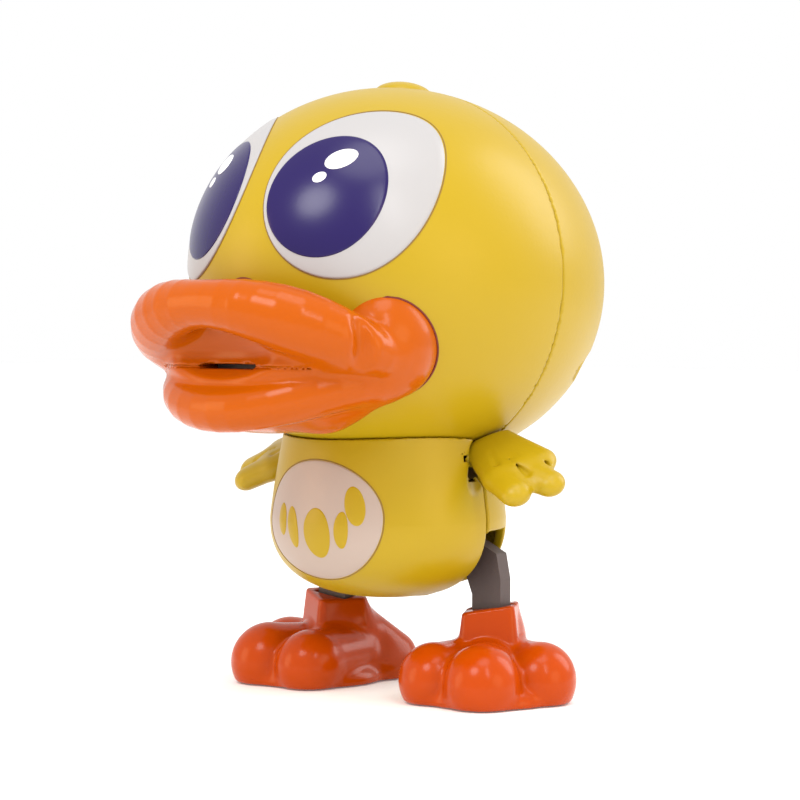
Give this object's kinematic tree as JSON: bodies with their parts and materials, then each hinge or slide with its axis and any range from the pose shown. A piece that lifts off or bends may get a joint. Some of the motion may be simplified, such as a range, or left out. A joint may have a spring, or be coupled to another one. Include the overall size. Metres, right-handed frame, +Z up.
{
  "type": "wind-up hopping duckling toy",
  "caption": "Big-headed yellow duckling whose clockwork drives both legs up, down and sideways on cranks, with a winding key on its back and wings that fold down",
  "frame": {"origin": "On the floor, under the middle of the toy's bounding box", "axes": "+Z up, the beak points to -Y and the duckling's left side is +X"},
  "size_m": [0.1022, 0.1318, 0.1468],
  "materials": {
    "yellow_shell": "satin",
    "belly_white": "satin",
    "eye_white": "semi-gloss",
    "eye_purple": "gloss",
    "beak_orange": "gloss",
    "foot_orange": "gloss",
    "grey_plastic": "matte",
    "dark_plastic": "matte",
    "brass": "machined",
    "steel": "brushed"
  },
  "bodies": {
    "torso": {"body_front_shell": "yellow_shell", "body_rear_shell": "yellow_shell", "belly_plate": "belly_white", "head_front_shell": "yellow_shell", "head_rear_shell": "yellow_shell", "head_tuft": "yellow_shell", "eye_white_left": "eye_white", "eye_white_right": "eye_white", "eye_iris_left": "eye_purple", "eye_iris_right": "eye_purple", "beak_upper": "beak_orange", "beak_lower": "beak_orange", "squeaker_reed": "grey_plastic", "head_screws": "steel", "neck_screws": "steel", "body_screws": "steel", "movement_front_plate": "steel", "movement_rear_plate": "steel", "plate_pillars": "steel", "movement_screws": "steel", "mainspring": "steel", "spring_post": "steel", "link_posts": "steel", "click_pawl": "steel", "wing_pin_left": "steel", "wing_pin_right": "steel"},
    "winding": {"winding_arbor": "steel", "great_gear": "brass", "ratchet_wheel": "brass", "winding_key": "steel", "key_rivet": "steel"},
    "drive": {"drive_shaft": "steel", "drive_pinion": "brass", "drive_gear": "brass"},
    "crank_left_set": {"crankshaft_left": "steel", "crank_gear_left": "brass", "crank_left": "dark_plastic", "leg_cap_left": "steel"},
    "link_left_set": {"swing_link_left": "dark_plastic", "link_cap_left": "steel"},
    "leg_left_set": {"leg_left": "grey_plastic", "foot_left": "foot_orange", "sole_left": "foot_orange", "ankle_pin_left": "steel"},
    "wing_left_set": {"wing_left": "yellow_shell"},
    "crank_right_set": {"crankshaft_right": "steel", "crank_gear_right": "brass", "crank_right": "dark_plastic", "leg_cap_right": "steel"},
    "link_right_set": {"swing_link_right": "dark_plastic", "link_cap_right": "steel"},
    "leg_right_set": {"leg_right": "grey_plastic", "foot_right": "foot_orange", "sole_right": "foot_orange", "ankle_pin_right": "steel"},
    "wing_right_set": {"wing_right": "yellow_shell"}
  },
  "joints": [
    {"name": "crank_left_turn", "type": "hinge", "parent": "torso", "child": "crank_left_set", "pos_m": [0.01046, 0.00453, 0.0378], "axis": [0, 1, 0], "continuous": true},
    {"name": "crank_right_turn", "type": "hinge", "parent": "torso", "child": "crank_right_set", "pos_m": [-0.01046, 0.00453, 0.0378], "axis": [0, 1, 0], "continuous": true},
    {"name": "drive_turn", "type": "hinge", "parent": "torso", "child": "drive", "pos_m": [0, 0.00453, 0.0338], "axis": [0, 1, 0], "continuous": true},
    {"name": "key_turn", "type": "hinge", "parent": "torso", "child": "winding", "pos_m": [0, 0.00453, 0.0434], "axis": [0, 1, 0], "continuous": true},
    {"name": "link_left_turn", "type": "hinge", "parent": "torso", "child": "link_left_set", "pos_m": [0.007, 0.00453, 0.0479], "axis": [0, 1, 0], "continuous": true},
    {"name": "leg_left_swing", "type": "hinge", "parent": "crank_left_set", "child": "leg_left_set", "pos_m": [0.01046, 0.00453, 0.0408], "axis": [0, 1, 0], "continuous": true},
    {"name": "wing_left_flap", "type": "hinge", "parent": "torso", "child": "wing_left_set", "pos_m": [0.0228, 0.00654, 0.0571], "axis": [0, 1, 0], "range_deg": [-3, 24]},
    {"name": "link_right_turn", "type": "hinge", "parent": "torso", "child": "link_right_set", "pos_m": [-0.007, 0.00453, 0.0479], "axis": [0, 1, 0], "continuous": true},
    {"name": "leg_right_swing", "type": "hinge", "parent": "crank_right_set", "child": "leg_right_set", "pos_m": [-0.01046, 0.00453, 0.0408], "axis": [0, 1, 0], "continuous": true},
    {"name": "wing_right_flap", "type": "hinge", "parent": "torso", "child": "wing_right_set", "pos_m": [-0.0228, 0.00654, 0.0571], "axis": [0, -1, 0], "range_deg": [-3, 24]}
  ],
  "couplings": [
    {"joint": "crank_right_turn", "follows": "crank_left_turn", "ratio": 1},
    {"joint": "drive_turn", "follows": "crank_left_turn", "ratio": -0.75},
    {"joint": "key_turn", "follows": "crank_left_turn", "ratio": 0.25},
    {"joint": "link_left_turn", "follows": "crank_left_turn", "ratio": 1},
    {"joint": "leg_left_swing", "follows": "crank_left_turn", "ratio": -1},
    {"joint": "link_right_turn", "follows": "crank_left_turn", "ratio": 1},
    {"joint": "leg_right_swing", "follows": "crank_left_turn", "ratio": -1}
  ]
}
